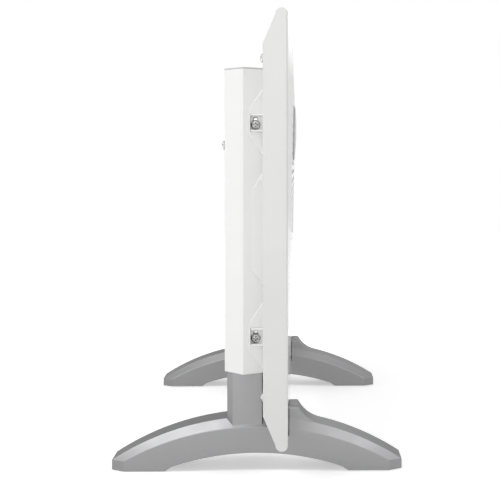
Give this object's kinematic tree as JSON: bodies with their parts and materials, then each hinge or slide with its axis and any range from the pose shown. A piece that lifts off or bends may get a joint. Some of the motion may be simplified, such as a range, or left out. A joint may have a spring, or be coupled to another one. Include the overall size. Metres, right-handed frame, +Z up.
{
  "type": "radiant panel heater",
  "caption": "Portable electric panel heater: flat slotted panel with side flanges, ridged rear casing on U-brackets, arched feet, and side controls with dial and rocker switches.",
  "frame": {"origin": "on the floor, midway between the feet and midway between their front and rear ends", "axes": "+X to the front, the way that the panel faces; +Y along the panel to the end with the controls; +Z up"},
  "size_m": [0.321, 0.65, 0.5],
  "materials": {
    "panel_enamel": "gloss white enamel",
    "white_enamel": "satin white powder coat",
    "gray_enamel": "satin light grey paint",
    "badge_gray": "satin grey",
    "zinc_steel": "bright zinc plate",
    "plate_enamel": "satin white powder coat",
    "reflector_aluminium": "bright rolled",
    "mica": "pressed mica sheet",
    "heater_ribbon": "rolled resistance ribbon",
    "ceramic": "glazed ceramic",
    "brass": "turned",
    "foot_silver": "satin silver-grey paint on moulded plastic",
    "pad_rubber": "matte",
    "black_plastic": "fine grain",
    "fascia_gray": "fine grain",
    "knob_gray": "fine grain",
    "rocker_black": "polished",
    "lens_amber": "clear tinted",
    "lamp_glass": "frosted",
    "block_white": "moulded",
    "lead_insulation": "woven glass sleeve"
  },
  "bodies": {
    "heater": {"back_plate": "plate_enamel", "back_plate_screws": "zinc_steel", "badge": "badge_gray", "badge_clips": "zinc_steel", "bracket_screws": "zinc_steel", "bracket_thread_plates": "zinc_steel", "bracket_washers": "zinc_steel", "casing_bottom": "white_enamel", "casing_rear_screws": "zinc_steel", "casing_shell": "white_enamel", "casing_top": "gray_enamel", "control_fascia": "fascia_gray", "control_leads": "lead_insulation", "control_shield": "zinc_steel", "cord_clamp": "black_plastic", "cord_gland": "black_plastic", "cutout_bracket": "zinc_steel", "element_board_left": "mica", "element_board_right": "mica", "element_center_bar": "zinc_steel", "element_end_channels": "zinc_steel", "element_rail_lower": "zinc_steel", "element_rail_upper": "zinc_steel", "element_ribbon_left": "heater_ribbon", "element_ribbon_right": "heater_ribbon", "element_standoffs": "ceramic", "element_terminals": "brass", "foot_left": "foot_silver", "foot_nuts": "zinc_steel", "foot_pads": "pad_rubber", "foot_right": "foot_silver", "foot_screws": "zinc_steel", "front_panel": "panel_enamel", "heater_leads": "lead_insulation", "indicator_lamp": "lamp_glass", "indicator_lens": "lens_amber", "lead_grommet": "pad_rubber", "reflector": "reflector_aluminium", "side_brackets": "white_enamel", "switch_housing_full": "black_plastic", "switch_housing_half": "black_plastic", "terminal_block": "block_white", "terminal_screws": "zinc_steel", "thermal_cutout": "black_plastic", "thermostat_body": "black_plastic", "thermostat_nut": "zinc_steel", "tilt_case": "black_plastic", "tilt_cover": "black_plastic", "tilt_pin": "zinc_steel"},
    "thermostat": {"thermostat_shaft": "zinc_steel", "thermostat_knob": "knob_gray"},
    "rocker_half": {"rocker_half": "rocker_black"},
    "rocker_full": {"rocker_full": "rocker_black"},
    "tilt_pendulum": {"tilt_pendulum": "zinc_steel"}
  },
  "joints": [
    {"name": "thermostat_turn", "type": "hinge", "parent": "heater", "child": "thermostat", "pos_m": [-0.013, 0.285, 0.3], "axis": [0, 1, 0], "range_deg": [0, 270]},
    {"name": "rocker_half_tilt", "type": "hinge", "parent": "heater", "child": "rocker_half", "pos_m": [-0.013, 0.2775, 0.214], "axis": [1, 0, 0], "range_deg": [0, 18]},
    {"name": "rocker_full_tilt", "type": "hinge", "parent": "heater", "child": "rocker_full", "pos_m": [-0.013, 0.2775, 0.246], "axis": [1, 0, 0], "range_deg": [0, 18]},
    {"name": "tilt_swing", "type": "hinge", "parent": "heater", "child": "tilt_pendulum", "pos_m": [-0.014, 0.249, 0.1357], "axis": [0, 1, 0], "range_deg": [-25, 25]}
  ]
}
